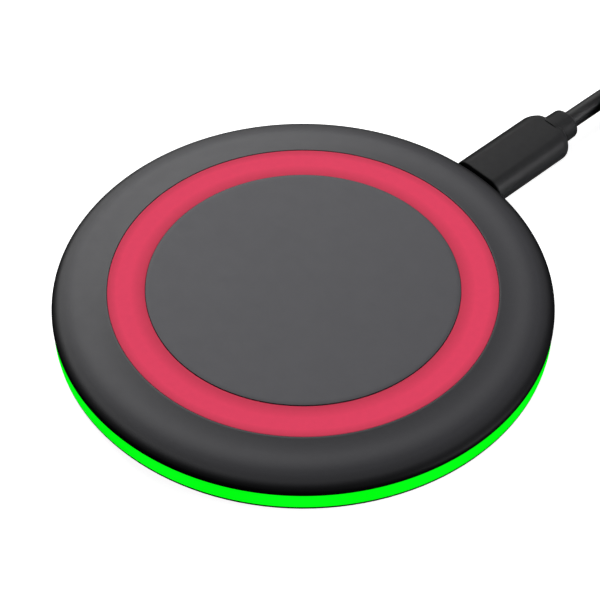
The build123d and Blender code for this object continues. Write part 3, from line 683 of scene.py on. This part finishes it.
stations = neck_stations(FAR_BACK, FAR_NECK_END, NECK_FLARE, FAR_NECK_EDGE, NECK_TAPER)
section = rounded(FAR_NECK_WIDTH, FAR_NECK_HEIGHT, FAR_NECK_HEIGHT / 2 - 0.01)
neck_grid = carried(section, stations, FAR_X, FAR_Z)
make_piece("far_neck", [neck_grid], CABLE, "plug_black", ["far_strain_relief"], CRISP)

# %% [markdown]
# ## Strap
# A hook-and-loop strap holds the wound cord. Its path is a rounded rectangle round the winding, and the
# strap's own thin section, with rounded edges, is carried along that path square to it.

# %% strap
STRAP_ANGLE, STRAP_WIDTH, STRAP_THICK = radians(60), 9.0, 0.58
STRAP_INNER, STRAP_OUTER = 17.16, 30.26  # from the middle of the winding to the strap's inside
STRAP_LOW, STRAP_HIGH, STRAP_CORNER = 0.64, 8.96, 1.6


def strap_grid(per_corner=10):
    """Strap in its own frame: p runs from the winding's middle outwards and z is up. Each path point has a
    normal in that plane. The section adds u along the normal and v along the strap's width, and the frame
    is then turned: (x, y) = centre + p (cos a, sin a) + v (-sin a, cos a)."""
    thick = STRAP_THICK / 2
    width, height = STRAP_OUTER - STRAP_INNER + 2 * thick, STRAP_HIGH - STRAP_LOW + 2 * thick
    path = rounded(width, height, STRAP_CORNER, per_corner)
    normal = rounded(2, 2, 1, per_corner)
    u, v = rounded(STRAP_THICK, STRAP_WIDTH, thick - 0.01, 5).T
    p = (STRAP_INNER + STRAP_OUTER) / 2 + path[:, :1] + normal[:, :1] * u
    z = (STRAP_LOW + STRAP_HIGH) / 2 + path[:, 1:] + normal[:, 1:] * u
    v = np.broadcast_to(v, p.shape)
    x = COIL_CENTRE[0] + p * np.cos(STRAP_ANGLE) - v * np.sin(STRAP_ANGLE)
    y = COIL_CENTRE[1] + p * np.sin(STRAP_ANGLE) + v * np.cos(STRAP_ANGLE)
    return grid(np.stack([x, y, z], -1), closed_path=True)


make_piece("strap", [strap_grid()], CABLE, "tie_black", ["cord_tie"])
make_cord()

# %% [markdown]
# ## Light
# The pad stands in a white sweep under soft light. Most of the light comes from a large panel far behind
# it, a little to the left and almost as high as the camera. The flat face mirrors that panel towards the
# camera as a dull sheen, while slopes that fall towards the camera turn away from it and go dark. A lower
# panel on the right keeps that side from going black. A small panel beside the plug brings out the round
# sides of the black plug and cord. It is linked to those pieces alone, as a studio flag would keep it off
# the rest. The floor is there for the eye only, and throws no light back up at the rim.

# %% world, lights and floor
WHITE, COOL, PALE = (1.0, 1.0, 1.0), (0.96, 0.97, 1.0), (0.98, 0.98, 1.0)
SKY_STRENGTH, FLOOR_GLOW, FLOOR_REACH = 0.09, 0.93, 6.0


def make_world():
    """Dim soft sky above the horizon and black below it."""
    world = bpy.data.worlds.new("studio")
    bpy.context.scene.world = world
    world.use_nodes = True
    nodes, links = world.node_tree.nodes, world.node_tree.links
    where, split = nodes.new("ShaderNodeTexCoord"), nodes.new("ShaderNodeSeparateXYZ")
    ramp = nodes.new("ShaderNodeValToRGB")
    links.new(where.outputs["Generated"], split.inputs[0])
    links.new(split.outputs["Z"], ramp.inputs[0])
    low, high = ramp.color_ramp.elements
    low.position, low.color = 0.1, (0, 0, 0, 1)
    high.position, high.color = 0.6, (*WHITE, 1)
    links.new(ramp.outputs[0], nodes["Background"].inputs["Color"])
    nodes["Background"].inputs["Strength"].default_value = SKY_STRENGTH


def softbox(name, turn, elevation, distance, size, power, tint=WHITE, target=(0, 0, 0), cone=180):
    """Square area light that faces a target. turn is in degrees from the camera's side, anticlockwise, and
    cone is the angle in degrees that its light spreads over."""
    data = bpy.data.lights.new(name, "AREA")
    data.shape, data.size, data.energy, data.color = "SQUARE", size, power, tint
    data.spread = radians(cone)
    lamp = bpy.data.objects.new(name, data)
    bpy.context.collection.objects.link(lamp)
    back = direction(CAMERA_AZIMUTH + radians(turn), radians(elevation))
    lamp.location = Vector(target) + back * distance
    lamp.rotation_mode = "QUATERNION"
    lamp.rotation_quaternion = (-back).to_track_quat("-Z", "Y")
    return lamp


def make_floor():
    """Pale floor that glows a little, so that it stays white and its shadows stay faint."""
    mesh = bpy.data.meshes.new("floor")
    corners = np.array([(-1, -1, 0), (1, -1, 0), (1, 1, 0), (-1, 1, 0)]) * FLOOR_REACH
    mesh.from_pydata(corners.tolist(), [], [(0, 1, 2, 3)])
    material, shader = new_material("floor", (0.8, 0.8, 0.8), 1.0, Specular_IOR_Level=0.0)
    shader.inputs["Emission Color"].default_value = (*WHITE, 1)
    shader.inputs["Emission Strength"].default_value = FLOOR_GLOW
    mesh.materials.append(material)
    floor = bpy.data.objects.new("floor", mesh)
    bpy.context.collection.objects.link(floor)
    floor.visible_diffuse = floor.visible_glossy = floor.visible_transmission = False


make_world()
softbox("key_behind", turn=196, elevation=39, distance=4.0, size=3.1, power=183.0)
softbox("panel_right", turn=73, elevation=21, distance=0.8, size=0.45, power=1.9, tint=COOL)
plug_side = softbox("plug_side", turn=66, elevation=27, distance=0.15, size=0.12, power=0.07, tint=PALE,
                    target=(0, 0.08, 0.0036), cone=30)
lit_pieces = bpy.data.collections.new("lit_by_plug_side")
for name in ("plug_body", "plug_neck", "cord"):
    lit_pieces.objects.link(bpy.data.objects[name])
plug_side.light_linking.receiver_collection = lit_pieces
make_floor()
bpy.context.scene.view_settings.view_transform = "Standard"
